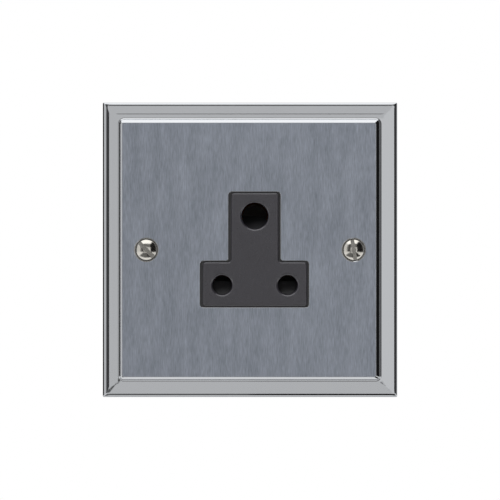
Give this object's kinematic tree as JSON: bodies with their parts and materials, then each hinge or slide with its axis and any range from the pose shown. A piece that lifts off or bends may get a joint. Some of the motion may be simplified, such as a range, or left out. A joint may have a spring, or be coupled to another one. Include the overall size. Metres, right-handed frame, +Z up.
{
  "type": "round pin socket",
  "caption": "Square stepped metal wall socket with a T-shaped insert, round pin holes with rounded rims, a sprung shutter and screw terminals behind.",
  "frame": {"origin": "centre of the plate on the wall's surface, midway between the fixing screws", "axes": "+X to the right seen from the room, +Z up, +Y into the wall"},
  "size_m": [0.086, 0.0258, 0.086],
  "materials": {
    "plate_chrome": "polished border, satin brushed field",
    "screw_chrome": "polished plate",
    "insert_black": "satin moulded, with a resin-rich skin",
    "shutter_nylon": "satin moulded",
    "spring_steel": "drawn spring steel",
    "insulating_sheet": "pressed black fibre sheet",
    "base_moulding": "satin moulded",
    "contact_bronze": "rolled strip",
    "terminal_brass": "drawn brass",
    "zinc_steel": "zinc plated"
  },
  "bodies": {
    "socket": {"face_plate": "plate_chrome", "plate_screws": "screw_chrome", "socket_front": "insert_black", "shutter_spring": "spring_steel", "insulating_plate": "insulating_sheet", "socket_base": "base_moulding", "line_contact": "contact_bronze", "neutral_contact": "contact_bronze", "earth_contact": "contact_bronze", "line_grip_spring": "spring_steel", "neutral_grip_spring": "spring_steel", "earth_grip_spring": "spring_steel", "line_terminal": "terminal_brass", "neutral_terminal": "terminal_brass", "earth_terminal": "terminal_brass", "terminal_screws": "terminal_brass", "housing_screws": "zinc_steel", "mechanism_screws": "zinc_steel", "lock_washers": "zinc_steel", "earth_strap": "terminal_brass"},
    "shutter": {"shutter": "shutter_nylon"}
  },
  "joints": [
    {"name": "shutter_slide", "type": "slide", "parent": "socket", "child": "shutter", "axis": [0, 0, -1], "range_m": [0, 0.0038], "stiffness_N_per_m": 120, "springref_m": -0.004, "deforming": ["shutter_spring"]}
  ]
}
